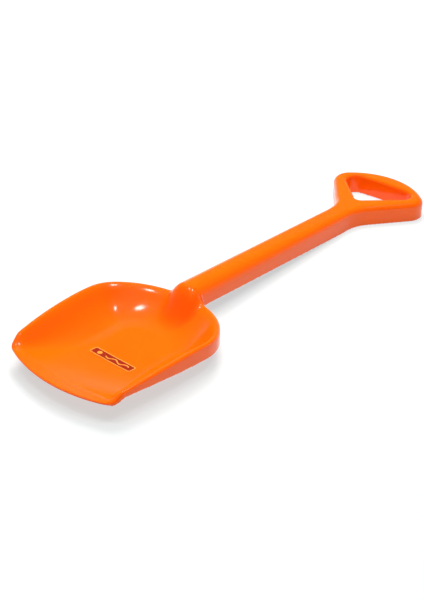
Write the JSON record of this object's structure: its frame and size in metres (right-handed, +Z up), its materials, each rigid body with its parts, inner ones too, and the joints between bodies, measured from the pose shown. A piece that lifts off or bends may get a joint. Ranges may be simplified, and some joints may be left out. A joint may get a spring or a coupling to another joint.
{
  "type": "toy beach shovel",
  "caption": "Long-handled toy sand shovel: wide scoop with a rolled rim, half-round channel shaft and open D-shaped hand grip.",
  "frame": {"origin": "centre of the bounding box in plan, on the ground the shovel lies on", "axes": "+X from the lip of the blade to the hand grip, +Z up with the shovel lying bowl upwards, +Y completes a right-handed set and is the axis across the symmetric blade"},
  "size_m": [0.5, 0.142, 0.0354],
  "materials": {
    "moulding": "glossy moulded polypropylene, orange",
    "label_red": "printed film, dark red",
    "label_yellow": "printed film, warm yellow"
  },
  "bodies": {
    "root": {"blade": "moulding", "shaft": "moulding", "yoke": "moulding", "hand_grip": "moulding", "shaft_ribs": "moulding", "label_field": "label_red", "label_border": "label_yellow", "label_wave": "label_yellow", "label_sun": "label_yellow"}
  },
  "joints": []
}
